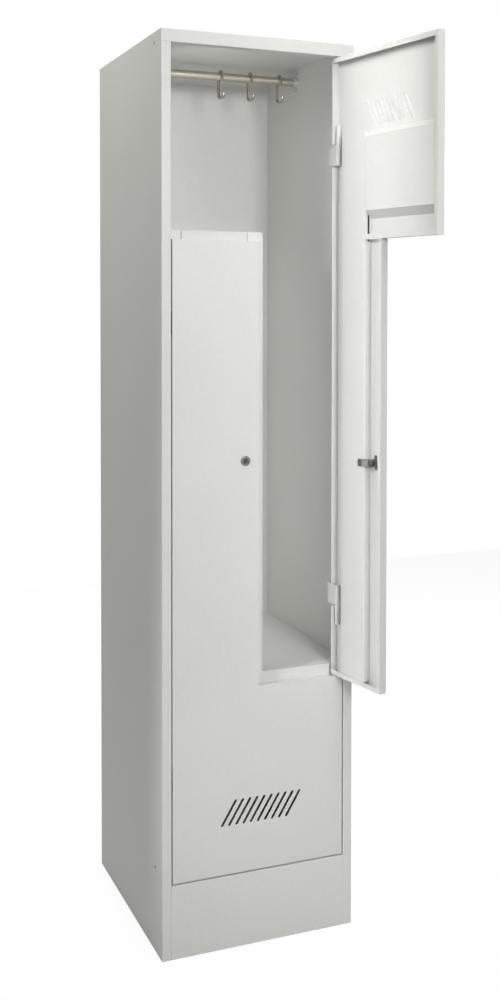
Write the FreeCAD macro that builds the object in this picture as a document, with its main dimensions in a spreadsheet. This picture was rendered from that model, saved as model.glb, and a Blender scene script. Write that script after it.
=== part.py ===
import FreeCAD, Part
import math
import os
import re
import Sketcher

# Two-person steel locker whose two compartments interlock like the letter Z.
# The origin is at floor level under the middle of the front face: X runs to the right,
# Y runs from the front face to the back, Z is up. All sizes are in millimetres.

# Driving sizes: each one is a cell of the sheet "dims".
SIZES = {
    # Folded sheet steel body
    "carcass_width": 400,
    "carcass_depth": 500,
    "carcass_height": 1800,
    "sheet": 1.0,
    "stile_width": 19,
    "stile_return": 44,
    "bend_radius": 1.5,
    "rear_flange": 15,
    "foot_flange": 20,
    "top_rail_height": 25,
    "top_rail_return": 20,
    "plinth_height": 145,
    "panel_flange": 15,
    "joining_hole_diameter": 7,
    "joining_hole_setback": 50,
    "joining_hole_bottom": 167,
    "joining_hole_drop": 21,
    # Doors, measured shut
    "door_gap": 3,
    "door_side_gap": 2,
    "door_thickness": 16,
    "door_wide_height": 369,
    "door_lip": 10,
    "stop_gap": 1,
    "stop_flange": 30,
    "shelf_rise": 18,
    "floor_rise": 23,
    "bottom_rise": 10,
    "stiffener_inset": 38,
    "stiffener_width": 83,
    "stiffener_gap": 1,
    "stiffener_setback": 158,
    "stiffener_slot_width": 4,
    "stiffener_slot_length": 48,
    "pressing_rise": 156,
    "pressing_height": 173,
    "pressing_slope_low": 12,
    "pressing_slope_high": 16,
    "open_angle": 99,
    # Air slots in the doors
    "vent_count": 10,
    "vent_pitch": 15,
    "vent_height": 46,
    "vent_lean": 28,
    "vent_width": 5,
    "vent_rise": 122.5,
    "vent_offset": 3,
    # Hinges
    "pivot_inset": 9,
    "pivot_depth": 6,
    "pin_diameter": 5,
    "knuckle_diameter": 10,
    "knuckle_length": 40,
    "eye_relief": 0.4,
    "leaf_height": 40,
    "leaf_thickness": 2.5,
    "leaf_depth": 44,
    "leaf_foot": 16,
    "hinge_clearance": 0.05,
    "hinge_seat": 0.01,
    "hinge_end_gap": 0.5,
    "notch_margin": 3,
    "hinge_rise_wide": 176,
    "hinge_rise_leg": 1110,
    # Cam locks
    "lock_height": 967,
    "lock_inset": 29.5,
    "lock_face_diameter": 20,
    "lock_face_height": 2,
    "lock_body_diameter": 16,
    "lock_body_length": 18,
    "lock_clip_width": 20,
    "lock_clip_height": 28,
    "lock_clip_thickness": 2,
    "plug_diameter": 12,
    "plug_clearance": 0.05,
    "key_slot_width": 1.6,
    "key_slot_length": 7.5,
    "key_slot_depth": 5,
    "cam_width": 15,
    "cam_thickness": 2.5,
    "cam_reach": 29,
    "cam_crank": 9,
    "cam_gap": 0.3,
    "cam_screw_diameter": 4,
    "cam_screw_head": 8,
    "cam_screw_head_height": 2.5,
    "cam_screw_depth": 8,
    # Post and partition between the two compartments
    "post_width": 22,
    "post_depth": 10,
    "post_flange": 10,
    "shelf_seam": 0.8,
    "post_corner": 6,
    # Coat rails and their sliding hooks
    "rail_diameter": 18,
    "rail_wall": 1.5,
    "rail_setback": 310,
    "rail_drop_upper": 29,
    "rail_drop_lower": 57,
    "bracket_thickness": 2.5,
    "bracket_width": 14,
    "bracket_above": 20,
    "bracket_below": 26,
    "bracket_foot": 16,
    "socket_wall": 2,
    "socket_length": 8,
    "rail_seat": 0.02,
    "wire_diameter": 6,
    "hook_clearance": 0.3,
    "hook_grip": 6,
    "hook_drop": 46,
    "hook_bend": 8,
    "hook_reach": 18,
    "hook_tip": 3,
    "upper_hook_first": 20,
    "upper_hook_pitch": 68,
    "lower_hook_first": -150,
    "lower_hook_pitch": 50,
}

# Places that follow from the driving sizes: each one is a cell of the sheet "places".
PLACES = {
    "half_width": "carcass_width / 2",
    "opening_half": "half_width - stile_width",
    "side_inside": "half_width - sheet",
    "back_inside": "carcass_depth - 2 * sheet",
    "ceiling": "carcass_height - sheet",
    "opening_top": "carcass_height - top_rail_height",
    "joining_hole_top": "carcass_height - joining_hole_drop",
    "door_width": "2 * (opening_half - door_side_gap)",
    "door_leg_width": "door_width / 2 - door_gap / 2",
    "lower_door_bottom": "plinth_height + door_gap",
    "upper_door_top": "opening_top - door_gap",
    "door_height": "upper_door_top - lower_door_bottom - door_wide_height - door_gap",
    "lower_door_top": "lower_door_bottom + door_height",
    "lower_ledge": "lower_door_bottom + door_wide_height",
    "stop_plane": "door_thickness + stop_gap",
    "swing_corner": "door_thickness - pivot_depth",
    "swing_radius": "sqrt(pivot_inset * pivot_inset + swing_corner * swing_corner)",
    "swing_reach": "pivot_depth + swing_radius + stop_gap",
    "swing_edge": "opening_half - door_side_gap - pivot_inset - swing_radius - stop_gap",
    "post_back": "stop_plane + post_depth",
    "post_half": "post_width / 2",
    "post_left": "post_half + post_flange",
    "shelf_end": "post_left + shelf_seam",
    "shelf_top": "lower_door_top + shelf_rise",
    "upper_floor_top": "lower_ledge + floor_rise",
    "floor_top": "plinth_height + bottom_rise",
    "stiffener_end": "stiffener_inset + stiffener_width",
    "stiffener_top": "door_height - door_lip - stiffener_gap",
    "pressing_start": "stiffener_end + stiffener_gap",
    "pressing_end": "door_width - door_lip - stiffener_gap",
    "pressing_top": "pressing_rise + pressing_height",
    "vent_middle": "door_width / 2 + vent_offset",
    "lock_across": "door_leg_width - lock_inset",
    "cam_front": "lock_body_length + cam_gap",
    "cam_end_front": "cam_front + cam_crank",
    "hook_radius": "rail_diameter / 2 + hook_clearance + wire_diameter / 2",
    "upper_rail_height": "ceiling - rail_drop_upper",
    "lower_rail_height": "shelf_top - sheet - rail_drop_lower",
}

doc = FreeCAD.newDocument("z_locker")
dims = doc.addObject("Spreadsheet::Sheet", "dims")
places = doc.addObject("Spreadsheet::Sheet", "places")
SHEET_OF = {name: "dims" for name in SIZES}
SHEET_OF.update({name: "places" for name in PLACES})
NODES = []


def refer(text):
    """Turn plain size names into references to their cells."""

    def cell(match):
        word = match.group()
        return f"{SHEET_OF[word]}.{word}" if word in SHEET_OF else word

    return re.sub(r"[a-z_]+", cell, str(text))


def fill_sheets():
    for row, (name, size) in enumerate(SIZES.items(), start=1):
        dims.set(f"A{row}", str(size))
        dims.setAlias(f"A{row}", name)
    doc.recompute()
    for row, (name, formula) in enumerate(PLACES.items(), start=1):
        places.set(f"A{row}", "=" + refer(formula).replace("places.", ""))
        places.setAlias(f"A{row}", name)
        doc.recompute()


def number(text):
    return float(dims.evalExpression(refer(text)))


def bind(item, prop, text):
    item.setExpression(prop, refer(text))


# Small makers for the shapes that the pieces are put together from


def block(name, x, y, z):
    """A box between two places along each axis."""
    box = doc.addObject("Part::Box", name)
    for side, axis, (low, high) in zip(("Length", "Width", "Height"), "xyz", (x, y, z)):
        bind(box, side, f"({high}) - ({low})")
        bind(box, f"Placement.Base.{axis}", low)
    return box


TURNED = {
    "x": FreeCAD.Rotation(FreeCAD.Vector(0, 1, 0), 90),
    "y": FreeCAD.Rotation(FreeCAD.Vector(1, 0, 0), -90),
    "z": FreeCAD.Rotation(),
}


def rod(name, axis, diameter, at, length):
    """A round bar that starts at a point and runs along +X, +Y or +Z."""
    bar = doc.addObject("Part::Cylinder", name)
    bar.Placement = FreeCAD.Placement(FreeCAD.Vector(), TURNED[axis])
    bind(bar, "Radius", f"({diameter}) / 2")
    bind(bar, "Height", length)
    for letter, place in zip("xyz", at):
        bind(bar, f"Placement.Base.{letter}", place)
    return bar


def fuse(name, pieces):
    joined = doc.addObject("Part::MultiFuse", name)
    joined.Shapes = pieces
    joined.Refine = True
    return joined


def cut(name, base, tools):
    removed = tools[0] if len(tools) == 1 else fuse(name + "_cutters", tools)
    remaining = doc.addObject("Part::Cut", name)
    remaining.Base = base
    remaining.Tool = removed
    remaining.Refine = True
    return remaining


def edge_numbers(shape, lows, highs):
    """Numbers of the edges that lie inside a box of places."""
    slack = 0.01
    found = []
    for index, edge in enumerate(shape.Edges, start=1):
        box = edge.BoundBox
        low = (box.XMin, box.YMin, box.ZMin)
        high = (box.XMax, box.YMax, box.ZMax)
        above = all(place >= limit - slack for place, limit in zip(low, lows))
        below = all(place <= limit + slack for place, limit in zip(high, highs))
        if above and below:
            found.append(index)
    return found


def rounded(name, base, radius, boxes):
    """Round the edges that lie in the given boxes, as a press brake leaves a bend."""
    doc.recompute()
    numbers = sorted({n for lows, highs in boxes for n in edge_numbers(base.Shape, lows, highs)})
    bend = doc.addObject("Part::Fillet", name)
    bend.Base = base
    bend.Edges = [(n, number(radius), number(radius)) for n in numbers]
    return bend


def new_body(name):
    return doc.addObject("PartDesign::Body", name)


def sketch_on(body, name, role, offset="0"):
    """A sketch on one of the body's own planes, moved along that plane's normal."""
    sketch = body.newObject("Sketcher::SketchObject", name)
    plane = next(item for item in body.Origin.OriginFeatures if item.Role == role)
    sketch.AttachmentSupport = [(plane, "")]
    sketch.MapMode = "FlatFace"
    bind(sketch, "AttachmentOffset.Base.z", offset)
    return sketch


def pin_down(sketch, item, end, across, along):
    """Hold one end of a sketch line at a place that follows the sheet."""
    for kind, text in (("DistanceX", across), ("DistanceY", along)):
        index = sketch.addConstraint(Sketcher.Constraint(kind, -1, 1, item, end, number(text)))
        bind(sketch, f"Constraints[{index}]", text)


def polygon(sketch, corners):
    points = [FreeCAD.Vector(number(a), number(b), 0) for a, b in corners]
    first = sketch.GeometryCount
    for start, end in zip(points, points[1:] + points[:1]):
        sketch.addGeometry(Part.LineSegment(start, end))
    for step, (across, along) in enumerate(corners):
        following = first + (step + 1) % len(corners)
        sketch.addConstraint(Sketcher.Constraint("Coincident", first + step, 2, following, 1))
        pin_down(sketch, first + step, 1, across, along)


def circle(sketch, across, along, diameter):
    middle = FreeCAD.Vector(number(across), number(along), 0)
    item = sketch.addGeometry(Part.Circle(middle, FreeCAD.Vector(0, 0, 1), number(diameter) / 2))
    pin_down(sketch, item, 3, across, along)
    index = sketch.addConstraint(Sketcher.Constraint("Diameter", item, number(diameter)))
    bind(sketch, f"Constraints[{index}]", diameter)


def round_slot(sketch, low_end, high_end, width):
    """A slanting slot with round ends, given the middles of its two ends."""
    low = FreeCAD.Vector(number(low_end[0]), number(low_end[1]), 0)
    high = FreeCAD.Vector(number(high_end[0]), number(high_end[1]), 0)
    radius = number(width) / 2
    slant = math.atan2(high.y - low.y, high.x - low.x)
    sideways = FreeCAD.Vector(math.sin(slant), -math.cos(slant), 0) * radius
    quarter = math.pi / 2
    facing = FreeCAD.Vector(0, 0, 1)
    low_circle = Part.Circle(low, facing, radius)
    high_circle = Part.Circle(high, facing, radius)
    lower = sketch.addGeometry(Part.ArcOfCircle(low_circle, slant + quarter, slant + 3 * quarter))
    right = sketch.addGeometry(Part.LineSegment(low + sideways, high + sideways))
    upper = sketch.addGeometry(Part.ArcOfCircle(high_circle, slant - quarter, slant + quarter))
    left = sketch.addGeometry(Part.LineSegment(high - sideways, low - sideways))
    for one, other in ((lower, right), (right, upper), (upper, left), (left, lower)):
        sketch.addConstraint(Sketcher.Constraint("Tangent", one, 2, other, 1))
    pin_down(sketch, lower, 3, *low_end)
    pin_down(sketch, upper, 3, *high_end)
    index = sketch.addConstraint(Sketcher.Constraint("Radius", lower, radius))
    bind(sketch, f"Constraints[{index}]", f"{width} / 2")


def pad(body, sketch, length, turned=False):
    feature = body.newObject("PartDesign::Pad", sketch.Name + "_pad")
    feature.Profile = sketch
    feature.Reversed = turned
    bind(feature, "Length", length)
    doc.recompute()
    return feature


def pocket(body, sketch, depth, turned=False):
    """Cut a pocket, and make sure that it took something away."""
    before = body.Shape.Volume
    feature = body.newObject("PartDesign::Pocket", sketch.Name + "_pocket")
    feature.Profile = sketch
    feature.Reversed = turned
    bind(feature, "Length", depth)
    doc.recompute()
    if body.Shape.Volume >= before:
        raise RuntimeError(f"{feature.Name} cuts nothing")
    return feature


def body_fillet(body, name, radius, boxes):
    tip = body.Tip
    numbers = sorted({n for lows, highs in boxes for n in edge_numbers(tip.Shape, lows, highs)})
    feature = body.newObject("PartDesign::Fillet", name)
    feature.Base = (tip, [f"Edge{n}" for n in numbers])
    bind(feature, "Radius", radius)
    doc.recompute()


def keep(item, label, placement=None):
    """Name a finished piece and put it in its place."""
    item.Label = label
    if placement is not None:
        item.Placement = placement
    NODES.append(item)


# Folded panels of the body


def side_panel(side):
    """Side wall with its front stile, stile return, foot and rear flanges; sign is -1 on the left."""
    sign = -1 if side == "left" else 1
    name = side + "_side_panel"

    def across(low, high):
        return (low, high) if sign > 0 else (f"-({high})", f"-({low})")

    pieces = [
        block(
            name + "_wall",
            across("side_inside", "half_width"),
            ("sheet", "carcass_depth"),
            ("0", "ceiling"),
        ),
        block(name + "_stile", across("opening_half", "half_width"), ("0", "sheet"), ("0", "opening_top")),
        block(
            name + "_return",
            across("opening_half", "opening_half + sheet"),
            ("0", "stile_return"),
            ("0", "opening_top"),
        ),
        block(
            name + "_rear",
            across("half_width - rear_flange", "half_width"),
            ("carcass_depth - sheet", "carcass_depth"),
            ("0", "ceiling"),
        ),
        block(
            name + "_foot",
            across("half_width - foot_flange", "half_width"),
            ("stile_return", "back_inside"),
            ("0", "sheet"),
        ),
    ]
    folded = fuse(name + "_folded", pieces)
    outer, inner = sign * number("half_width"), sign * number("opening_half")
    top = number("opening_top")
    bent = rounded(
        name + "_bent",
        folded,
        "bend_radius",
        [((outer, 0, 0), (outer, 0, top)), ((inner, 0, 0), (inner, 0, top))],
    )
    hole_start = "half_width - 2 * sheet" if sign > 0 else "-half_width - sheet"
    holes = [
        rod(
            f"{name}_{place}",
            "x",
            "joining_hole_diameter",
            (hole_start, "joining_hole_setback", place),
            "3 * sheet",
        )
        for place in ("joining_hole_bottom", "joining_hole_top")
    ]
    keep(cut(name, bent, holes), name)


def top_panel():
    """Lid with its front rail, which turns back in above the doors."""
    name = "top_panel"
    full = ("-half_width", "half_width")
    pieces = [
        block(name + "_lid", full, ("0", "carcass_depth"), ("ceiling", "carcass_height")),
        block(name + "_rail", full, ("0", "sheet"), ("opening_top", "carcass_height")),
        block(
            name + "_return",
            ("-side_inside", "side_inside"),
            ("0", "top_rail_return"),
            ("opening_top", "opening_top + sheet"),
        ),
    ]
    half, high = number("half_width"), number("carcass_height")
    low = number("opening_top")
    folded = fuse(name + "_folded", pieces)
    bent = rounded(
        name,
        folded,
        "bend_radius",
        [((-half, 0, high), (half, 0, high)), ((-half, 0, low), (half, 0, low))],
    )
    keep(bent, name)


def plinth_front():
    """Plinth between the two stiles, folded back under the door and along the floor."""
    name = "plinth_front"
    wide = ("-opening_half", "opening_half")
    pieces = [
        block(name + "_face", wide, ("0", "sheet"), ("0", "plinth_height")),
        block(name + "_top", wide, ("0", "stop_plane"), ("plinth_height - sheet", "plinth_height")),
        block(name + "_foot", wide, ("0", "foot_flange"), ("0", "sheet")),
    ]
    half, high = number("opening_half"), number("plinth_height")
    folded = fuse(name + "_folded", pieces)
    keep(rounded(name, folded, "bend_radius", [((-half, 0, high), (half, 0, high))]), name)


def joggled(name, folded, sign, top):
    """Set the hinge end of a stop flange back, so that the corner of the door can swing past it."""

    def across(low, high):
        return (low, high) if sign > 0 else (f"-({high})", f"-({low})")

    hang = (f"{top} - stop_flange", top)
    relief = block(
        name + "_relief",
        across("swing_edge", "half_width"),
        ("stop_plane - sheet", "swing_reach"),
        (f"{top} - stop_flange - sheet", f"{top} + sheet"),
    )
    step = block(
        name + "_step",
        across("swing_edge - sheet", "swing_edge"),
        ("stop_plane", "swing_reach + sheet"),
        hang,
    )
    recess = block(
        name + "_recess",
        across("swing_edge - sheet", "opening_half"),
        ("swing_reach", "swing_reach + sheet"),
        hang,
    )
    return fuse(name + "_joggled", [cut(name + "_relieved", folded, [relief]), step, recess])


def floor_panel():
    """Floor of the lower compartment, with the flange that stops the door."""
    name = "floor_panel"
    deck = ("floor_top - sheet", "floor_top")
    pieces = [
        block(name + "_deck", ("-side_inside", "side_inside"), ("stile_return", "back_inside"), deck),
        block(name + "_tongue", ("-opening_half", "opening_half"), ("stop_plane", "stile_return"), deck),
        block(
            name + "_stop",
            ("-opening_half", "opening_half"),
            ("stop_plane", "stop_plane + sheet"),
            ("floor_top - stop_flange", "floor_top"),
        ),
        block(
            name + "_rear",
            ("-side_inside", "side_inside"),
            ("back_inside - sheet", "back_inside"),
            ("floor_top - panel_flange", "floor_top"),
        ),
    ]
    keep(joggled(name, fuse(name + "_folded", pieces), -1, "floor_top"), name)


def hat_shelf():
    """Shelf over the lower compartment's leg; its front flange stops both doors."""
    name = "hat_shelf"
    deck = ("shelf_top - sheet", "shelf_top")
    hang = ("shelf_top - stop_flange", "shelf_top")
    pieces = [
        block(name + "_deck", ("-side_inside", "post_half"), ("stile_return", "back_inside"), deck),
        block(name + "_tongue", ("-opening_half", "-shelf_end"), ("stop_plane", "stile_return"), deck),
        block(name + "_inset", ("-shelf_end", "-post_half"), ("stop_plane + sheet", "stile_return"), deck),
        block(name + "_front", ("-post_half", "post_half"), ("post_back", "stile_return"), deck),
        block(name + "_stop", ("-opening_half", "-shelf_end"), ("stop_plane", "stop_plane + sheet"), hang),
        block(name + "_edge", ("post_half - sheet", "post_half"), ("post_back", "back_inside"), hang),
        block(
            name + "_rear",
            ("-side_inside", "post_half"),
            ("back_inside - sheet", "back_inside"),
            ("shelf_top - panel_flange", "shelf_top"),
        ),
    ]
    slot = block(
        name + "_rear_slot",
        ("-sheet / 2", "sheet / 2"),
        ("back_inside - 2 * sheet", "back_inside + sheet"),
        ("shelf_top - 2 * panel_flange", "shelf_top - sheet"),
    )
    slotted = cut(name + "_slotted", fuse(name + "_folded", pieces), [slot])
    keep(joggled(name, slotted, -1, "shelf_top"), name)


def upper_floor():
    """Floor of the upper compartment's leg; its front flange stops both doors."""
    name = "upper_floor"
    deck = ("upper_floor_top - sheet", "upper_floor_top")
    hang = ("upper_floor_top - stop_flange", "upper_floor_top")
    pieces = [
        block(name + "_deck", ("-post_half", "side_inside"), ("stile_return", "back_inside"), deck),
        block(name + "_tongue", ("post_half", "opening_half"), ("stop_plane", "stile_return"), deck),
        block(name + "_front", ("-post_half", "post_half"), ("post_back", "stile_return"), deck),
        block(name + "_stop", ("post_half", "opening_half"), ("stop_plane", "stop_plane + sheet"), hang),
        block(name + "_edge", ("-post_half", "-post_half + sheet"), ("post_back", "back_inside"), hang),
        block(
            name + "_rear",
            ("-post_half", "side_inside"),
            ("back_inside - sheet", "back_inside"),
            ("upper_floor_top - panel_flange", "upper_floor_top"),
        ),
    ]
    keep(joggled(name, fuse(name + "_folded", pieces), 1, "upper_floor_top"), name)


def center_post():
    """Hollow post in front of the partition, with a flange on its left; the lock cams catch behind it."""
    name = "center_post"
    bottom, top = "upper_floor_top - stop_flange", "shelf_top"
    tube = block(name + "_tube", ("-post_half", "post_half"), ("stop_plane", "post_back"), (bottom, top))
    bore = block(
        name + "_bore",
        ("-post_half + sheet", "post_half - sheet"),
        ("stop_plane + sheet", "post_back - sheet"),
        (f"{bottom} - sheet", f"{top} - sheet"),
    )
    half, high = number("post_half"), number(top)
    front, back, thin = number("stop_plane"), number("post_back"), number("sheet")
    outside = rounded(name + "_outside", tube, "post_corner", [((half, front, high), (half, back, high))])
    inside = rounded(
        name + "_inside",
        bore,
        "post_corner - sheet",
        [((half - thin, front, high - thin), (half - thin, back, high - thin))],
    )
    flange = block(
        name + "_flange",
        ("-post_left", "-post_half"),
        ("stop_plane", "stop_plane + sheet"),
        (bottom, top),
    )
    keep(fuse(name, [cut(name + "_hollow", outside, [inside]), flange]), name)


def flat_sheets():
    """Back wall and the partition between the two legs."""
    back = block(
        "back_panel_sheet",
        ("-side_inside", "side_inside"),
        ("back_inside", "carcass_depth - sheet"),
        ("0", "ceiling"),
    )
    keep(back, "back_panel")
    partition = block(
        "center_partition_sheet",
        ("-sheet / 2", "sheet / 2"),
        ("post_back", "back_inside"),
        ("upper_floor_top", "shelf_top - sheet"),
    )
    keep(partition, "center_partition")


# Doors: drawn shut, hinge edge at x = 0, outer face at y = 0, foot at z = 0, wide part below the leg


def door_outline(edge, hinge_edge):
    """Corners of the L-shaped door, drawn in by an edge width."""
    return [
        (hinge_edge, edge),
        (f"door_width - ({edge})", edge),
        (f"door_width - ({edge})", f"door_wide_height - ({edge})"),
        (f"door_leg_width - ({edge})", f"door_wide_height - ({edge})"),
        (f"door_leg_width - ({edge})", f"door_height - ({edge})"),
        (hinge_edge, f"door_height - ({edge})"),
    ]


def door_skin(name, lock_rise, placement):
    """Door pan folded from one sheet: outer face, edges, inner lips on all but the hinge side, air slots."""
    body = new_body(name + "_body")
    outline = sketch_on(body, name + "_outline", "XZ_Plane")
    polygon(outline, door_outline("0", "0"))
    pad(body, outline, "door_thickness", turned=True)
    wide, high = number("door_width"), number("door_height")
    body_fillet(body, name + "_bend", "bend_radius", [((0, 0, 0), (wide, 0, high))])
    hollow = sketch_on(body, name + "_hollow", "XZ_Plane", "-sheet")
    polygon(hollow, door_outline("sheet", "sheet"))
    pocket(body, hollow, "door_thickness - 2 * sheet")
    mouth = sketch_on(body, name + "_mouth", "XZ_Plane", "-door_thickness")
    inner = door_outline("door_lip", "sheet")
    # A strip of the lip runs on across the leg to the stiffener
    inner[3:4] = [
        ("stiffener_end", "door_wide_height - door_lip"),
        ("stiffener_end", "door_wide_height"),
        ("door_leg_width - door_lip", "door_wide_height"),
    ]
    polygon(mouth, inner)
    pocket(body, mouth, "sheet", turned=True)
    for place in ("wide", "leg"):
        low, high_end = leaf_span(place)
        low, high_end = f"{low} - notch_margin", f"{high_end} + notch_margin"
        gap = sketch_on(body, f"{name}_notch_{place}", "XZ_Plane", "-sheet")
        polygon(gap, [("0", low), ("2 * sheet", low), ("2 * sheet", high_end), ("0", high_end)])
        pocket(body, gap, "door_thickness")
    hole = sketch_on(body, name + "_lock_hole", "XZ_Plane")
    circle(hole, "lock_across", lock_rise, "lock_body_diameter + 2 * plug_clearance")
    pocket(body, hole, "2 * sheet")
    slot = sketch_on(body, name + "_vent", "XZ_Plane")
    first = "vent_middle - (vent_count - 1) * vent_pitch / 2"
    low, high_end = "vent_rise - vent_height / 2", "vent_rise + vent_height / 2"
    lean_left, lean_right = f"{first} - vent_lean / 2", f"{first} + vent_lean / 2"
    round_slot(slot, (lean_left, low), (lean_right, high_end), "vent_width")
    single = pocket(body, slot, "2 * sheet")
    row = body.newObject("PartDesign::LinearPattern", name + "_vents")
    row.Originals = [single]
    row.Direction = (slot, ["H_Axis"])
    row.Occurrences = int(number("vent_count"))
    bind(row, "Length", "(vent_count - 1) * vent_pitch")
    body.Tip = row
    doc.recompute()
    keep(body, name, placement)


def leaf_span(place):
    """Lower and upper end of a hinge leaf: above its knuckle in the wide part, under it in the leg."""
    rise = "hinge_rise_" + place
    return (rise, f"{rise} + leaf_height") if place == "wide" else (f"{rise} - leaf_height", rise)


def door_stiffener(name, placement):
    """Upright channel welded along the hinge side of the door."""
    body = new_body(name + "_body")
    profile = sketch_on(body, name + "_profile", "XY_Plane", "stiffener_setback")
    crown = "door_thickness"
    polygon(
        profile,
        [
            ("stiffener_inset", "sheet"),
            ("stiffener_inset + sheet", "sheet"),
            ("stiffener_inset + sheet", f"{crown} - sheet"),
            ("stiffener_end - sheet", f"{crown} - sheet"),
            ("stiffener_end - sheet", "sheet"),
            ("stiffener_end", "sheet"),
            ("stiffener_end", crown),
            ("stiffener_inset", crown),
        ],
    )
    pad(body, profile, "stiffener_top - stiffener_setback")
    bottom, top = number("stiffener_setback"), number("stiffener_top")
    left, right, high = number("stiffener_inset"), number("stiffener_end"), number(crown)
    body_fillet(
        body,
        name + "_bend",
        "bend_radius",
        [((left, high, bottom), (left, high, top)), ((right, high, bottom), (right, high, top))],
    )
    slot = sketch_on(body, name + "_slot", "YZ_Plane", "stiffener_end + sheet")
    low = "door_wide_height - stiffener_slot_length"
    depth = "door_thickness / 3"
    polygon(
        slot,
        [
            (depth, low),
            (f"{depth} + stiffener_slot_width", low),
            (f"{depth} + stiffener_slot_width", "door_wide_height + stiffener_slot_width"),
            (depth, "door_wide_height + stiffener_slot_width"),
        ],
    )
    pocket(body, slot, "3 * sheet")
    keep(body, name, placement)


def door_pressing(name, placement):
    """Wide reinforcing panel with sloping upper and lower sides, welded inside the wide part."""
    body = new_body(name + "_body")
    profile = sketch_on(body, name + "_profile", "YZ_Plane", "pressing_start")
    crown = "door_thickness"
    low, high = "pressing_rise", "pressing_top"
    polygon(
        profile,
        [
            ("sheet", low),
            (crown, f"{low} + pressing_slope_low"),
            (crown, f"{high} - pressing_slope_high"),
            ("sheet", high),
            ("sheet", f"{high} - 2 * sheet"),
            (f"{crown} - sheet", f"{high} - pressing_slope_high - sheet"),
            (f"{crown} - sheet", f"{low} + pressing_slope_low + sheet"),
            ("sheet", f"{low} + 2 * sheet"),
        ],
    )
    pad(body, profile, "pressing_end - pressing_start")
    keep(body, name, placement)


# Hinges: a leaf on the stile and a knuckle on the door share one pin


def hinge_parts(side, door, frame_place, door_place):
    leaves, knuckles, pins = [], [], []
    for place in ("wide", "leg"):
        name = f"{side}_hinge_{place}"
        rise = "hinge_rise_" + place
        upward = place == "wide"
        leaf_low, leaf_high = leaf_span(place)
        knuckle_low = f"{rise} - knuckle_length" if upward else f"{rise} + hinge_end_gap"
        pin_low = f"{rise} - knuckle_length" if upward else f"{rise} - leaf_height"
        tall = (leaf_low, leaf_high)
        plate = ("pivot_inset + knuckle_diameter / 2 - leaf_thickness", "pivot_inset + knuckle_diameter / 2")
        back = "leaf_depth - leaf_thickness"
        foot_face = "-door_side_gap"
        eye = "knuckle_diameter - 2 * eye_relief"
        strap = fuse(
            name + "_strap",
            [
                rod(name + "_eye", "z", eye, ("pivot_inset", "pivot_depth", leaf_low), "leaf_height"),
                block(name + "_plate", plate, ("pivot_depth", "leaf_depth"), tall),
                block(name + "_web", (foot_face, plate[1]), (back, "leaf_depth"), tall),
                block(
                    name + "_foot",
                    (foot_face, f"{foot_face} + leaf_thickness"),
                    ("leaf_depth - leaf_foot", "leaf_depth"),
                    tall,
                ),
            ],
        )
        eye_bore = "pin_diameter + 2 * hinge_seat"
        knuckle_bore = "pin_diameter + 2 * hinge_clearance"
        start = ("pivot_inset", "pivot_depth", f"{leaf_low} - sheet")
        bore = rod(name + "_eye_bore", "z", eye_bore, start, "leaf_height + 2 * sheet")
        leaves.append(cut(name + "_leaf", strap, [bore]))
        tube = rod(
            name + "_tube",
            "z",
            "knuckle_diameter",
            ("pivot_inset", "pivot_depth", knuckle_low),
            "knuckle_length - hinge_end_gap",
        )
        start = ("pivot_inset", "pivot_depth", f"{knuckle_low} - sheet")
        bore = rod(name + "_bore", "z", knuckle_bore, start, "knuckle_length + 2 * sheet")
        knuckles.append(cut(name + "_knuckle", tube, [bore]))
        pins.append(
            rod(
                name + "_pin",
                "z",
                "pin_diameter",
                ("pivot_inset", "pivot_depth", pin_low),
                "leaf_height + knuckle_length",
            )
        )
    for label, solids, placement in (
        (side + "_hinge_leaves", leaves, frame_place),
        (side + "_hinge_pins", pins, frame_place),
        (door + "_knuckles", knuckles, door_place),
    ):
        group = doc.addObject("Part::Compound", label + "_pair")
        group.Links = solids
        keep(group, label, placement)


# Cam locks


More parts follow.
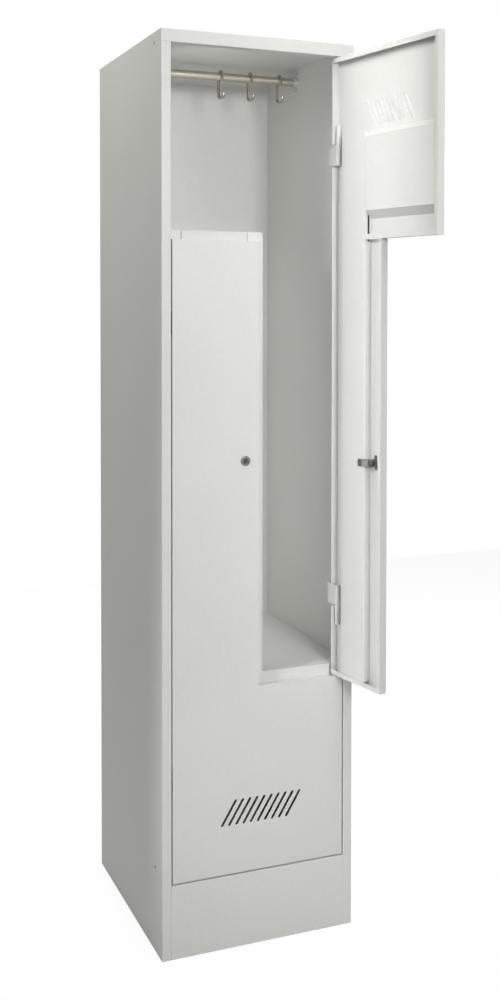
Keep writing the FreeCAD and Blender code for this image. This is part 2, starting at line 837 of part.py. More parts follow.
def lock_parts(prefix, rise, placement):
    across = "lock_across"
    face = rod(
        prefix + "_face",
        "y",
        "lock_face_diameter",
        (across, "-lock_face_height", rise),
        "lock_face_height",
    )
    doc.recompute()
    centre = (number(across), number(rise))
    reach = number("lock_face_diameter") / 2
    front = -number("lock_face_height")
    domed = rounded(
        prefix + "_domed",
        face,
        "lock_face_height / 2",
        [((centre[0] - reach, front, centre[1] - reach), (centre[0] + reach, front, centre[1] + reach))],
    )
    barrel = rod(prefix + "_barrel", "y", "lock_body_diameter", (across, "0", rise), "lock_body_length")
    bore = rod(
        prefix + "_bore",
        "y",
        "plug_diameter + 2 * plug_clearance",
        (across, "-2 * lock_face_height", rise),
        "lock_body_length + 4 * lock_face_height",
    )
    housing = cut(prefix + "_shell", fuse(prefix + "_solid", [domed, barrel]), [bore])
    keep(housing, prefix + "_housing", placement)

    half_wide, half_high = "lock_clip_width / 2", "lock_clip_height / 2"
    clip_plate = block(
        prefix + "_clip_plate",
        (f"{across} - {half_wide}", f"{across} + {half_wide}"),
        ("sheet", "sheet + lock_clip_thickness"),
        (f"{rise} - {half_high}", f"{rise} + {half_high}"),
    )
    clip_hole = rod(
        prefix + "_clip_hole",
        "y",
        "lock_body_diameter + 2 * hinge_seat",
        (across, "0", rise),
        "3 * lock_clip_thickness",
    )
    keep(cut(prefix + "_clip_cut", clip_plate, [clip_hole]), prefix + "_clip", placement)

    core = rod(
        prefix + "_core",
        "y",
        "plug_diameter",
        (across, "-lock_face_height", rise),
        "lock_face_height + cam_front",
    )
    half_slot, half_length = "key_slot_width / 2", "key_slot_length / 2"
    key_slot = block(
        prefix + "_key_slot",
        (f"{across} - {half_slot}", f"{across} + {half_slot}"),
        ("-2 * lock_face_height", "key_slot_depth - lock_face_height"),
        (f"{rise} - {half_length}", f"{rise} + {half_length}"),
    )
    thread = rod(
        prefix + "_thread",
        "y",
        "cam_screw_diameter + 2 * plug_clearance",
        (across, "cam_front - cam_screw_depth", rise),
        "cam_screw_depth + cam_gap",
    )
    keep(cut(prefix + "_plug_cut", core, [key_slot, thread]), prefix + "_plug", placement)

    cam_part(prefix, across, rise, placement)

    cam_back = "cam_front + cam_thickness"
    screw = fuse(
        prefix + "_screw_solid",
        [
            rod(
                prefix + "_screw_shank",
                "y",
                "cam_screw_diameter",
                (across, "cam_front - cam_screw_depth + cam_gap", rise),
                "cam_screw_depth + cam_thickness",
            ),
            rod(
                prefix + "_screw_head",
                "y",
                "cam_screw_head",
                (across, cam_back, rise),
                "cam_screw_head_height",
            ),
        ],
    )
    keep(screw, prefix + "_screw", placement)


def cam_part(prefix, across, rise, placement):
    """Cranked cam, drawn turned towards the hinge as it lies when unlocked."""
    name = prefix + "_cam"
    body = new_body(name + "_body")
    half = "cam_width / 2"
    profile = sketch_on(body, name + "_profile", "XY_Plane", f"{rise} - {half}")
    flat_end = f"{across} - {half}"
    crank_end = f"{flat_end} - cam_crank"
    tip = f"{across} - cam_reach"
    polygon(
        profile,
        [
            (f"{across} + {half}", "cam_front"),
            (f"{across} + {half}", "cam_front + cam_thickness"),
            (f"{flat_end} + cam_thickness / 2", "cam_front + cam_thickness"),
            (f"{crank_end} + cam_thickness / 2", "cam_end_front + cam_thickness"),
            (tip, "cam_end_front + cam_thickness"),
            (tip, "cam_end_front"),
            (f"{crank_end} - cam_thickness / 2", "cam_end_front"),
            (f"{flat_end} - cam_thickness / 2", "cam_front"),
        ],
    )
    pad(body, profile, "cam_width")
    left, right = number(tip), number(f"{across} + {half}")
    low, high = number(f"{rise} - {half}"), number(f"{rise} + {half}")
    near, far = number("cam_front"), number("cam_end_front + cam_thickness")
    corners = [((x, near, z), (x, far, z)) for x in (left, right) for z in (low, high)]
    body_fillet(body, name + "_corners", "cam_width / 4", corners)
    hole = sketch_on(body, name + "_hole", "XZ_Plane", "-cam_front")
    circle(hole, across, rise, "cam_screw_diameter + 4 * plug_clearance")
    pocket(body, hole, "cam_thickness")
    keep(body, name, placement)


# Coat rails


def coat_rail(prefix, left, right, height):
    """Round tube between two wall brackets."""
    tube = rod(
        prefix + "_tube",
        "x",
        "rail_diameter",
        (f"{left} + bracket_thickness", "rail_setback", height),
        f"({right}) - ({left}) - 2 * bracket_thickness",
    )
    bore = rod(
        prefix + "_tube_bore",
        "x",
        "rail_diameter - 2 * rail_wall",
        (left, "rail_setback", height),
        f"({right}) - ({left})",
    )
    keep(cut(prefix + "_rail_cut", tube, [bore]), prefix + "_coat_rail")
    for side, wall in (("left", left), ("right", right)):
        rail_bracket(f"{prefix}_rail_bracket_{side}", wall, 1 if side == "left" else -1, height)


def rail_bracket(name, wall, inward, height):
    """Wall plate with a round socket for the rail and a short foot turned inwards."""

    def span(depth):
        return (wall, f"{wall} + {depth}") if inward > 0 else (f"{wall} - ({depth})", wall)

    half = "bracket_width / 2"
    across = (f"rail_setback - {half}", f"rail_setback + {half}")
    low, high = f"{height} - bracket_below", f"{height} + bracket_above"
    socket_from = span("bracket_thickness + socket_length")[0]
    solid = fuse(
        name + "_solid",
        [
            block(name + "_plate", span("bracket_thickness"), across, (low, high)),
            block(name + "_foot", span("bracket_foot"), across, (low, f"{low} + bracket_thickness")),
            rod(
                name + "_socket",
                "x",
                "rail_diameter + 2 * socket_wall",
                (socket_from, "rail_setback", height),
                "bracket_thickness + socket_length",
            ),
        ],
    )
    bore_from = f"{wall} + bracket_thickness"
    if inward < 0:
        bore_from = f"{wall} - bracket_thickness - 2 * socket_length"
    bore = rod(
        name + "_bore",
        "x",
        "rail_diameter + 2 * rail_seat",
        (bore_from, "rail_setback", height),
        "2 * socket_length",
    )
    keep(cut(name + "_cut", solid, [bore]), name)


def coat_hook(label, across, height):
    """Bent wire hook that rides over the rail; its open end points to the front."""
    body = new_body(label + "_body")
    path = sketch_on(body, label + "_path", "YZ_Plane")
    ring, bend = number("hook_radius"), number("hook_bend")
    low = -number("hook_drop")
    start = FreeCAD.Vector(-ring, -number("hook_grip"), 0)
    front = FreeCAD.Vector(-ring, 0, 0)
    over = FreeCAD.Vector(0, ring, 0)
    rear = FreeCAD.Vector(ring, 0, 0)
    shank_end = FreeCAD.Vector(ring, low + bend, 0)
    half_turn = bend * (1 - 0.5**0.5)
    first_bend = FreeCAD.Vector(ring - half_turn, low + half_turn, 0)
    foot_start = FreeCAD.Vector(ring - bend, low, 0)
    foot_end = FreeCAD.Vector(ring - bend - number("hook_reach"), low, 0)
    tip_bend = FreeCAD.Vector(foot_end.x - bend + half_turn, low + half_turn, 0)
    tip_start = FreeCAD.Vector(foot_end.x - bend, low + bend, 0)
    tip_end = FreeCAD.Vector(tip_start.x, tip_start.y + number("hook_tip"), 0)
    path.addGeometry(Part.LineSegment(start, front))
    path.addGeometry(Part.Arc(front, over, rear))
    path.addGeometry(Part.LineSegment(rear, shank_end))
    path.addGeometry(Part.Arc(shank_end, first_bend, foot_start))
    path.addGeometry(Part.LineSegment(foot_start, foot_end))
    path.addGeometry(Part.Arc(foot_end, tip_bend, tip_start))
    path.addGeometry(Part.LineSegment(tip_start, tip_end))
    wire = sketch_on(body, label + "_wire", "XY_Plane", "-hook_grip")
    circle(wire, "0", "-hook_radius", "wire_diameter")
    doc.recompute()
    pipe = body.newObject("PartDesign::AdditivePipe", label + "_pipe")
    pipe.Profile = wire
    pipe.Spine = (path, [f"Edge{number_of}" for number_of in range(1, path.GeometryCount + 1)])
    doc.recompute()
    place = FreeCAD.Vector(number(across), number("rail_setback"), number(height))
    keep(body, label, FreeCAD.Placement(place, FreeCAD.Rotation()))


# Assembly

fill_sheets()

for hand in ("left", "right"):
    side_panel(hand)
top_panel()
plinth_front()
floor_panel()
hat_shelf()
upper_floor()
center_post()
flat_sheets()

upright = FreeCAD.Vector(0, 0, 1)
lower_shut = FreeCAD.Placement(
    FreeCAD.Vector(-number("door_width / 2"), 0, number("lower_door_bottom")), FreeCAD.Rotation()
)
# The upper door is the same door turned half a turn in its own plane
upper_shut = FreeCAD.Placement(
    FreeCAD.Vector(number("door_width / 2"), 0, number("upper_door_top")),
    FreeCAD.Rotation(FreeCAD.Vector(0, 1, 0), 180),
)
pivot = FreeCAD.Vector(number("door_width / 2 - pivot_inset"), number("pivot_depth"), 0)
swing = FreeCAD.Placement(FreeCAD.Vector(), FreeCAD.Rotation(upright, number("open_angle")), pivot)
upper_open = swing.multiply(upper_shut)

DOORS = (
    ("lower", "left", lower_shut, lower_shut, "lock_height - lower_door_bottom"),
    ("upper", "right", upper_shut, upper_open, "upper_door_top - lock_height"),
)
for level, hand, frame_place, door_place, lock_rise in DOORS:
    door_skin(f"{level}_door_skin", lock_rise, door_place)
    door_stiffener(f"{level}_door_stiffener", door_place)
    door_pressing(f"{level}_door_pressing", door_place)
    hinge_parts(hand, f"{level}_door", frame_place, door_place)
    lock_parts(f"{level}_lock", lock_rise, door_place)

coat_rail("upper", "-side_inside", "side_inside", "upper_rail_height")
coat_rail("lower", "-side_inside", "-sheet / 2", "lower_rail_height")
for level in ("upper", "lower"):
    for step, rank in enumerate(("first", "second", "third")):
        spot = f"{level}_hook_first + {step} * {level}_hook_pitch"
        coat_hook(f"{level}_hook_{rank}", spot, f"{level}_rail_height")

doc.recompute()
for item in doc.Objects:
    if "Invalid" in item.State or "Error" in item.State:
        raise RuntimeError(f"{item.Name} did not build: {item.State}")
for node in NODES:
    if node.Shape.isNull() or not node.Shape.isValid() or not node.Shape.Solids:
        raise RuntimeError(f"{node.Label} has no valid solid")

os.makedirs("parts", exist_ok=True)
for node in NODES:
    node.Shape.exportStep(f"parts/{node.Label}.step")
    print(f"{node.Label}: {len(node.Shape.Solids)} solid(s), {node.Shape.Volume / 1000:.1f} cm3")
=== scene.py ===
import math

import bpy
from mathutils import Matrix, Vector


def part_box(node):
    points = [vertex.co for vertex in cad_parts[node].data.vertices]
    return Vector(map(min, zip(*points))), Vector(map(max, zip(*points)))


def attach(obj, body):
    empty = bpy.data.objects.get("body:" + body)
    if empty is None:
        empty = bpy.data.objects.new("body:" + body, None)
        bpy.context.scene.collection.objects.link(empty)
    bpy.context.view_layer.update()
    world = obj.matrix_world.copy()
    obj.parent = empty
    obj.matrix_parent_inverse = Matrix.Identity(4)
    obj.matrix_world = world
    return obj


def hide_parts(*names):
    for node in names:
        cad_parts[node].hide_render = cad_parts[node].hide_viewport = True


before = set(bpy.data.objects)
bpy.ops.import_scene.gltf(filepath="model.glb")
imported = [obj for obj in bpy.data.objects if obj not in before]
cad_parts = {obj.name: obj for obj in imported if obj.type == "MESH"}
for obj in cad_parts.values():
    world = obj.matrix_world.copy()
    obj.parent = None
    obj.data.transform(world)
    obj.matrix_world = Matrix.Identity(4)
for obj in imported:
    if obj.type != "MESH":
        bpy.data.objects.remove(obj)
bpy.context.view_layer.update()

MM = 0.001

# Body: side walls, lid, back wall, plinth, shelves, partition and post of one-millimetre sheet steel.
# Each panel is folded on a press brake, spot-welded to the next, and then powder-coated light grey
# as one piece, so the coat runs over every seam.

BODY_GREY = "#DADAD7"
SPECK_SIZE = 9 * MM        # grains of the coat, drawn coarser than the real half millimetre so that they show
DRIFT_SIZE = 420 * MM      # slow change of tone across a panel
DRIFT_TONE = 0.03
SPECK_TONE = 0.015
SPECK_GLOSS = 0.06
PEEL_DEPTH = 0.4 * MM
NOISE_REACH = {"From Min": 0.3, "From Max": 0.7}     # nearly all values of a noise lie between these


def linear(hex_colour):
    """An sRGB hex colour as linear red, green, blue and alpha."""
    channels = [int(hex_colour[place:place + 2], 16) / 255 for place in (1, 3, 5)]
    return [c / 12.92 if c <= 0.04045 else ((c + 0.055) / 1.055) ** 2.4 for c in channels] + [1.0]


def add(tree, kind, settings=None, inputs=None):
    """A node of a tree, with its settings and with values or links on its inputs."""
    node = tree.nodes.new(kind)
    for name, value in (settings or {}).items():
        setattr(node, name, value)
    for name, value in (inputs or {}).items():
        if isinstance(value, bpy.types.NodeSocket):
            tree.links.new(value, node.inputs[name])
        else:
            node.inputs[name].default_value = value
    return node


def new_material(name):
    """An empty material and its shader."""
    material = bpy.data.materials.new(name)
    material.use_nodes = True
    tree = material.node_tree
    shader = next(node for node in tree.nodes if node.type == "BSDF_PRINCIPLED")
    return material, tree, shader


def powder_coat(name, colour, roughness=0.42):
    """Polyester powder baked on steel: an even satin skin with a faint orange peel and soft highlights."""
    material, tree, shader = new_material(name)
    place = add(tree, "ShaderNodeTexCoord").outputs["Object"]
    drift = add(tree, "ShaderNodeTexNoise", inputs={"Vector": place, "Scale": 1 / DRIFT_SIZE, "Detail": 2.0})
    grain = add(tree, "ShaderNodeTexNoise", inputs={"Vector": place, "Scale": 1 / SPECK_SIZE, "Detail": 3.0})
    tone = add(tree, "ShaderNodeMapRange", inputs={
        "Value": drift.outputs["Fac"], **NOISE_REACH, "To Min": 1 - DRIFT_TONE, "To Max": 1 + DRIFT_TONE})
    fleck = add(tree, "ShaderNodeMapRange", inputs={
        "Value": grain.outputs["Fac"], **NOISE_REACH, "To Min": 1 - SPECK_TONE, "To Max": 1 + SPECK_TONE})
    both = add(tree, "ShaderNodeMath", {"operation": "MULTIPLY"}, {
        0: tone.outputs["Result"], 1: fleck.outputs["Result"]})
    tinted = add(tree, "ShaderNodeVectorMath", {"operation": "SCALE"}, {
        "Vector": linear(colour)[:3], "Scale": both.outputs["Value"]})
    gloss = add(tree, "ShaderNodeMapRange", inputs={
        "Value": grain.outputs["Fac"], "To Min": roughness - SPECK_GLOSS, "To Max": roughness + SPECK_GLOSS})
    peel = add(tree, "ShaderNodeBump", inputs={
        "Height": grain.outputs["Fac"], "Strength": 0.05, "Distance": PEEL_DEPTH})
    tree.links.new(tinted.outputs["Vector"], shader.inputs["Base Color"])
    tree.links.new(gloss.outputs["Result"], shader.inputs["Roughness"])
    tree.links.new(peel.outputs["Normal"], shader.inputs["Normal"])
    shader.inputs["IOR"].default_value = 1.5
    return material


def smooth_rounds():
    """A small tree that lets turned and bent faces shade smoothly and keeps folded edges crisp."""
    tree = bpy.data.node_groups.new("smooth_rounds", "GeometryNodeTree")
    tree.interface.new_socket("Geometry", in_out="INPUT", socket_type="NodeSocketGeometry")
    crease = tree.interface.new_socket("Crease Angle", in_out="INPUT", socket_type="NodeSocketFloat")
    crease.default_value = math.radians(32)
    tree.interface.new_socket("Geometry", in_out="OUTPUT", socket_type="NodeSocketGeometry")
    given = add(tree, "NodeGroupInput")
    merged = add(tree, "GeometryNodeMergeByDistance", inputs={
        "Geometry": given.outputs["Geometry"], "Distance": 0.001 * MM})
    angle = add(tree, "GeometryNodeInputMeshEdgeAngle")
    sharp = add(tree, "FunctionNodeCompare", {"operation": "GREATER_THAN"}, {
        0: angle.outputs["Unsigned Angle"], 1: given.outputs["Crease Angle"]})
    soft = add(tree, "GeometryNodeSetShadeSmooth", {"domain": "FACE"}, {
        "Geometry": merged.outputs["Geometry"], "Shade Smooth": True})
    crisp = add(tree, "GeometryNodeSetShadeSmooth", {"domain": "EDGE"}, {
        "Geometry": soft.outputs["Geometry"], "Selection": sharp.outputs["Result"], "Shade Smooth": False})
    add(tree, "NodeGroupOutput", inputs={"Geometry": crisp.outputs["Geometry"]})
    return tree


rounds = smooth_rounds()


def dress(material, nodes):
    """Give CAD nodes their finish and smooth shading on their rounds."""
    for name in nodes:
        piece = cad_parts[name]
        piece.data.materials.clear()
        piece.data.materials.append(material)
        piece.modifiers.new("smooth_rounds", "NODES").node_group = rounds


body_coat = powder_coat("light grey powder coat on sheet steel", BODY_GREY)
dress(body_coat, [
    "left_side_panel", "right_side_panel", "back_panel", "top_panel", "plinth_front", "floor_panel",
    "hat_shelf", "upper_floor", "center_partition", "center_post",
])

# Doors: two L-shaped pans folded from sheet steel, each with an upright channel and a wide pressing
# spot-welded inside. They are coated in the same batch as the body; the slots are punched before.

LEVELS = ("upper", "lower")

dress(body_coat, [f"{level}_door_{piece}" for level in LEVELS for piece in ("skin", "stiffener", "pressing")])

# Hinges: strips of 2.5 mm steel rolled into an eye and welded to the stiles, with tubes welded to the
# doors. They are coated with the body; the pins are zinc-plated steel rod.

ZINC_GREY = "#9A9A9B"
CLOUD_SHEEN = 0.25         # share by which the roughness of a plate wanders
CLOUD_TONE = {"To Min": 0.94, "To Max": 1.04}


def plated_metal(name, colour, roughness, cloud_size):
    """Electroplate on steel: a metallic face whose sheen wanders a little from place to place."""
    material, tree, shader = new_material(name)
    place = add(tree, "ShaderNodeTexCoord").outputs["Object"]
    cloud = add(tree, "ShaderNodeTexNoise", inputs={"Vector": place, "Scale": 1 / cloud_size, "Detail": 3.0})
    sheen = add(tree, "ShaderNodeMapRange", inputs={
        "Value": cloud.outputs["Fac"], **NOISE_REACH,
        "To Min": roughness * (1 - CLOUD_SHEEN), "To Max": roughness * (1 + CLOUD_SHEEN)})
    tone = add(tree, "ShaderNodeMapRange", inputs={
        "Value": cloud.outputs["Fac"], **NOISE_REACH, **CLOUD_TONE})
    tinted = add(tree, "ShaderNodeVectorMath", {"operation": "SCALE"}, {
        "Vector": linear(colour)[:3], "Scale": tone.outputs["Result"]})
    tree.links.new(tinted.outputs["Vector"], shader.inputs["Base Color"])
    tree.links.new(sheen.outputs["Result"], shader.inputs["Roughness"])
    shader.inputs["Metallic"].default_value = 1.0
    return material


zinc = plated_metal("zinc-plated steel", ZINC_GREY, 0.22, 6 * MM)
dress(body_coat, ["left_hinge_leaves", "right_hinge_leaves", "upper_door_knuckles", "lower_door_knuckles"])
dress(zinc, ["left_hinge_pins", "right_hinge_pins"])

# Cam locks: die-cast housings and plugs plated with nickel, held by a clip behind the door.
# The cam is stamped from steel, cranked, zinc-plated and held by one screw.

# The housing and plug colours are nickel darkened to stand for a painted dark reflection of the room, the
# plug darker still; the plate itself is not worn.
LOCK_PAINTED_REFLECTION_NICKEL = "#807D78"
PLUG_PAINTED_REFLECTION_NICKEL = "#5C5A57"

lock_nickel_painted_reflection = plated_metal("worn nickel plate", LOCK_PAINTED_REFLECTION_NICKEL, 0.24, 5 * MM)
plug_nickel_painted_reflection = plated_metal("dark nickel plate on the plug", PLUG_PAINTED_REFLECTION_NICKEL, 0.3, 3 * MM)
for level in LEVELS:
    dress(lock_nickel_painted_reflection, [f"{level}_lock_housing"])
    dress(plug_nickel_painted_reflection, [f"{level}_lock_plug"])
    dress(zinc, [f"{level}_lock_{piece}" for piece in ("clip", "cam", "screw")])

# Coat rails: round steel tubes with a yellowish zinc plate, cut to length and held in sockets on wall
# brackets. The brackets are folded from sheet, welded to the walls and coated with the body.

RAIL_ZINC = "#C3C0B5"

rail_zinc = plated_metal("yellowish zinc plate on the rails", RAIL_ZINC, 0.55, 14 * MM)
for level in LEVELS:
    dress(rail_zinc, [f"{level}_coat_rail"])
    dress(body_coat, [f"{level}_rail_bracket_{side}" for side in ("left", "right")])

# Coat hooks: six-millimetre steel wire bent over the rail and up again into a tip, its cut ends
# tumbled round, then nickel-plated. Each hook is free on the rail and slides by itself.

WIRE_DIAMETER = 6 * MM
WIRE_STEP = 0.7 * MM
WIRE_SIDES = 20
END_ROUNDING = 2 * MM
END_CURVE = 0.9            # how far the rounding goes towards a full dome before the end is flat
RAIL_RADIUS = 9 * MM
HOOK_PLAY = 0.3 * MM
RING_RADIUS = RAIL_RADIUS + HOOK_PLAY + WIRE_DIAMETER / 2      # to the middle of the wire
GRIP, DROP, BEND, REACH, TIP = (length * MM for length in (6, 46, 8, 18, 3))
HOOK_NICKEL = "#B9B5AD"


def arc(along, up, radius, first, last, steps=12):
    """Points on part of a circle across the rail, between two angles in degrees."""
    angles = [math.radians(first + (last - first) * step / steps) for step in range(steps + 1)]
    return [(0, along + radius * math.cos(angle), up + radius * math.sin(angle)) for angle in angles]


def hook_path():
    """The middle line of the wire about the middle of the rail, from the grip in front to the tip."""
    foot = BEND - DROP
    front = RING_RADIUS - BEND - REACH
    points = [(0, -RING_RADIUS, -GRIP)]
    points += arc(0, 0, RING_RADIUS, 180, 0)
    points += arc(RING_RADIUS - BEND, foot, BEND, 0, -90)
    points += arc(front, foot, BEND, -90, -180)
    points += [(0, front - BEND, foot + TIP)]
    curve = bpy.data.curves.new("hook_path", "CURVE")
    curve.dimensions = "3D"
    line = curve.splines.new("POLY")
    line.points.add(len(points) - 1)
    for point, place in zip(line.points, points):
        point.co = (*place, 1)
    return curve


def bent_wire():
    """A tree that sweeps a round wire along a path, rounds its ends and puts it on the rail."""
    tree = bpy.data.node_groups.new("bent_wire", "GeometryNodeTree")
    tree.interface.new_socket("Path", in_out="INPUT", socket_type="NodeSocketGeometry")
    for name in ("Wire Diameter", "End Rounding"):
        tree.interface.new_socket(name, in_out="INPUT", socket_type="NodeSocketFloat")
    tree.interface.new_socket("Rail Middle", in_out="INPUT", socket_type="NodeSocketVector")
    tree.interface.new_socket("Finish", in_out="INPUT", socket_type="NodeSocketMaterial")
    tree.interface.new_socket("Wire", in_out="OUTPUT", socket_type="NodeSocketGeometry")
    given = add(tree, "NodeGroupInput").outputs
    fine = add(tree, "GeometryNodeResampleCurve", {"mode": "LENGTH"}, {
        "Curve": given["Path"], "Length": WIRE_STEP})
    from_start = add(tree, "GeometryNodeSplineParameter").outputs["Length"]
    whole = add(tree, "GeometryNodeSplineLength").outputs["Length"]
    from_end = add(tree, "ShaderNodeMath", {"operation": "SUBTRACT"}, {0: whole, 1: from_start})
    nearest = add(tree, "ShaderNodeMath", {"operation": "MINIMUM"}, {
        0: from_start, 1: from_end.outputs["Value"]})
    inward = add(tree, "ShaderNodeMapRange", inputs={
        "Value": nearest.outputs["Value"], "From Max": given["End Rounding"],
        "To Min": END_CURVE, "To Max": 0.0})
    square = add(tree, "ShaderNodeMath", {"operation": "POWER"}, {0: inward.outputs["Result"], 1: 2.0})
    rest = add(tree, "ShaderNodeMath", {"operation": "SUBTRACT"}, {0: 1.0, 1: square.outputs["Value"]})
    fullness = add(tree, "ShaderNodeMath", {"operation": "SQRT"}, {0: rest.outputs["Value"]})
    rounded = add(tree, "GeometryNodeSetCurveRadius", inputs={
        "Curve": fine.outputs["Curve"], "Radius": fullness.outputs["Value"]})
    half = add(tree, "ShaderNodeMath", {"operation": "DIVIDE"}, {0: given["Wire Diameter"], 1: 2.0})
    section = add(tree, "GeometryNodeCurvePrimitiveCircle", inputs={
        "Resolution": WIRE_SIDES, "Radius": half.outputs["Value"]})
    swept = add(tree, "GeometryNodeCurveToMesh", inputs={
        "Curve": rounded.outputs["Curve"], "Profile Curve": section.outputs["Curve"], "Fill Caps": True})
    placed = add(tree, "GeometryNodeTransform", inputs={
        "Geometry": swept.outputs["Mesh"], "Translation": given["Rail Middle"]})
    soft = add(tree, "GeometryNodeSetShadeSmooth", inputs={"Geometry": placed.outputs["Geometry"]})
    real = add(tree, "GeometryNodeRealizeInstances", inputs={"Geometry": soft.outputs["Geometry"]})
    plated = add(tree, "GeometryNodeSetMaterial", inputs={
        "Geometry": real.outputs["Geometry"], "Material": given["Finish"]})
    add(tree, "NodeGroupOutput", inputs={"Wire": plated.outputs["Geometry"]})
    return tree


def set_inputs(modifier, values):
    """Set a modifier's inputs by the names of its tree's sockets."""
    for item in modifier.node_group.interface.items_tree:
        if item.in_out == "INPUT" and item.name in values:
            modifier[item.identifier] = values[item.name]


hook_nickel = plated_metal("bright nickel plate on the hooks", HOOK_NICKEL, 0.16, 5 * MM)
wire_tree = bent_wire()
for level in LEVELS:
    rail_middle = (Vector(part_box(f"{level}_coat_rail")[0]) + Vector(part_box(f"{level}_coat_rail")[1])) / 2
    for rank in ("first", "second", "third"):
        node = f"{level}_hook_{rank}"
        low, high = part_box(node)
        bender = bpy.data.objects.new(node + "_bender", hook_path())
        bpy.context.scene.collection.objects.link(bender)
        modifier = bender.modifiers.new("bent_wire", "NODES")
        modifier.node_group = wire_tree
        set_inputs(modifier, {
            "Wire Diameter": WIRE_DIAMETER, "End Rounding": END_ROUNDING, "Finish": hook_nickel,
            "Rail Middle": ((low[0] + high[0]) / 2, rail_middle.y, rail_middle.z)})
        mesh = bpy.data.meshes.new_from_object(bender.evaluated_get(bpy.context.evaluated_depsgraph_get()))
        bpy.data.objects.remove(bender)
        wire = bpy.data.objects.new(node + "_wire", mesh)
        bpy.context.scene.collection.objects.link(wire)
        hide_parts(node)
        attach(wire, node)

# Studio: a pale floor and a white surround, soft lights in front, above, beside and behind, two gridded
# strips for the inside of the open door, and two small fills in the upper compartment.

FLOOR_GREY = "#BEBEBE"
FLOOR_SIZE = 7.0
FLOOR_GLOW = 0.82          # share of the floor that shows plain white; the rest takes light and the shadow
FLOOR_WHITE = 1.125
SKY_STRENGTH = 0.04


def seen_or_mirrored(tree):
    """One for rays from the camera, from a mirror or through glass, and zero for rays that carry light."""
    rays = add(tree, "ShaderNodeLightPath").outputs
    mirrored = add(tree, "ShaderNodeMath", {"operation": "MAXIMUM"}, {
        0: rays["Is Glossy Ray"], 1: rays["Is Transmission Ray"]})
    seen = add(tree, "ShaderNodeMath", {"operation": "MAXIMUM"}, {
        0: rays["Is Camera Ray"], 1: mirrored.outputs["Value"]})
    return seen.outputs["Value"]


floor_mesh = bpy.data.meshes.new("floor")
half = FLOOR_SIZE / 2
floor_mesh.from_pydata(
    [(-half, -half, 0), (half, -half, 0), (half, half, 0), (-half, half, 0)], [], [(0, 1, 2, 3)])
floor = bpy.data.objects.new("floor", floor_mesh)
bpy.context.scene.collection.objects.link(floor)
floor_paint, tree, shader = new_material("pale studio floor")
shader.inputs["Base Color"].default_value = linear(FLOOR_GREY)
shader.inputs["Roughness"].default_value = 0.9
share = add(tree, "ShaderNodeMath", {"operation": "MULTIPLY"}, {
    0: seen_or_mirrored(tree), 1: FLOOR_GLOW})
white = add(tree, "ShaderNodeEmission", inputs={"Color": (1, 1, 1, 1), "Strength": FLOOR_WHITE})
mixed = add(tree, "ShaderNodeMixShader", inputs={
    0: share.outputs["Value"], 1: shader.outputs["BSDF"], 2: white.outputs["Emission"]})
output = next(node for node in tree.nodes if node.type == "OUTPUT_MATERIAL")
tree.links.new(mixed.outputs["Shader"], output.inputs["Surface"])
floor_mesh.materials.append(floor_paint)

world = bpy.data.worlds.new("white studio")
world.use_nodes = True
bpy.context.scene.world = world
tree = world.node_tree
background = next(node for node in tree.nodes if node.type == "BACKGROUND")
strength = add(tree, "ShaderNodeMapRange", inputs={
    "Value": seen_or_mirrored(tree), "To Min": SKY_STRENGTH, "To Max": 1.0})
background.inputs["Color"].default_value = (1, 1, 1, 1)
tree.links.new(strength.outputs["Result"], background.inputs["Strength"])


def softbox(name, place, target, width, height, power, spread=180, tint="#FFFFFF"):
    """A rectangular studio light turned towards a point, with a grid in front if its spread is small."""
    lamp = bpy.data.lights.new(name, "AREA")
    lamp.shape = "RECTANGLE"
    lamp.size = width
    lamp.size_y = height
    lamp.energy = power
    lamp.color = linear(tint)[:3]
    lamp.spread = math.radians(spread)
    item = bpy.data.objects.new(name, lamp)
    bpy.context.scene.collection.objects.link(item)
    item.location = place
    item.rotation_euler = (Vector(target) - Vector(place)).to_track_quat("-Z", "Y").to_euler()


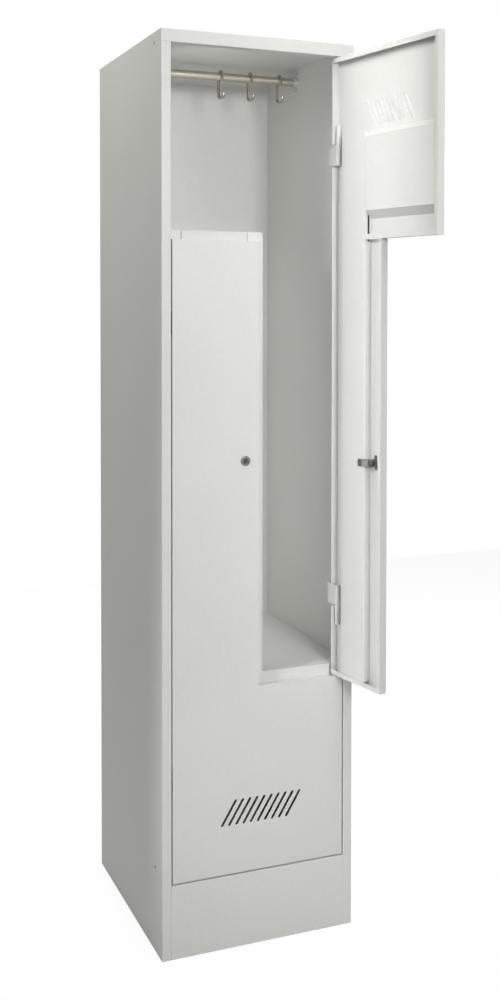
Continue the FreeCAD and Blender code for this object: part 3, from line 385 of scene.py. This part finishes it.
# Each light: place, the point it faces, width and height in metres, watts and, if gridded, spread in degrees
softbox("front softbox", (-0.1, -3.45, 1.75), (0.0, 0.2, 0.9), 0.6, 0.6, 53.0)
softbox("right softbox", (1.4, -3.1, 1.35), (0.0, 0.0, 0.9), 0.5, 0.5, 2.5)
softbox("overhead softbox", (0.15, -1.8, 3.2), (0.0, 0.0, 0.7), 0.8, 0.8, 24.0)
softbox("side softbox", (-1.2, 0.25, 2.7), (-0.2, 0.25, 1.4), 0.6, 0.6, 12.0, tint="#FFFFF5")
softbox("rear softbox", (0.0, 3.3, 2.0), (0.0, 0.5, 1.0), 0.36, 1.6, 55.0)
softbox("right rear softbox", (3.2, 1.2, 2.2), (0.2, 0.2, 1.0), 1.2, 1.2, 44.0)
softbox("gridded strip for the open door", (-0.85, -0.32, 1.36), (0.2, -0.17, 0.98), 0.12, 1.9, 1.38, 36)
softbox("gridded strip for the hinge side", (-0.85, -0.32, 1.36), (0.2, 0.0, 0.98), 0.12, 1.9, 0.22, 20)
softbox("fill behind the upper mouth", (-0.1, 0.14, 1.6), (0.15, 0.33, 1.64), 0.2, 0.28, 0.24)
softbox("fill beside the leg", (0.02, 0.27, 0.97), (0.19, 0.27, 0.97), 0.4, 0.8, 0.33)

# Camera: found from the outer edges of the body, which are 400 by 500 by 1800 mm. The picture is a crop
# of 500 by 1000 pixels, so the optical centre lies off its middle. Place in mm, angles in degrees.

IMAGE_WIDTH_PX, IMAGE_HEIGHT_PX = 500, 1000
CAMERA_PLACE = Vector((-896.7, -2462.4, 1277.6)) * MM
TURN, TILT, ROLL = (math.radians(angle) for angle in (24.836, 1.739, 0.21))
FOCAL_PX = 1323.3
CENTRE_PX = (372.0, 343.8)

lens = bpy.data.cameras.new("camera")
lens.sensor_fit = "AUTO"
lens.sensor_width = 36.0
lens.lens = FOCAL_PX * lens.sensor_width / IMAGE_HEIGHT_PX
lens.shift_x = (IMAGE_WIDTH_PX / 2 - CENTRE_PX[0]) / IMAGE_HEIGHT_PX
lens.shift_y = (CENTRE_PX[1] - IMAGE_HEIGHT_PX / 2) / IMAGE_HEIGHT_PX
camera = bpy.data.objects.new("camera", lens)
bpy.context.scene.collection.objects.link(camera)
forward = Vector((math.sin(TURN) * math.cos(TILT), math.cos(TURN) * math.cos(TILT), -math.sin(TILT)))
level_right = Vector((math.cos(TURN), -math.sin(TURN), 0))
level_up = level_right.cross(forward)
right = math.cos(ROLL) * level_right + math.sin(ROLL) * level_up
up = math.cos(ROLL) * level_up - math.sin(ROLL) * level_right
camera.matrix_world = Matrix.Translation(CAMERA_PLACE) @ Matrix((right, up, -forward)).transposed().to_4x4()
bpy.context.scene.camera = camera
bpy.context.scene.view_settings.view_transform = "Standard"
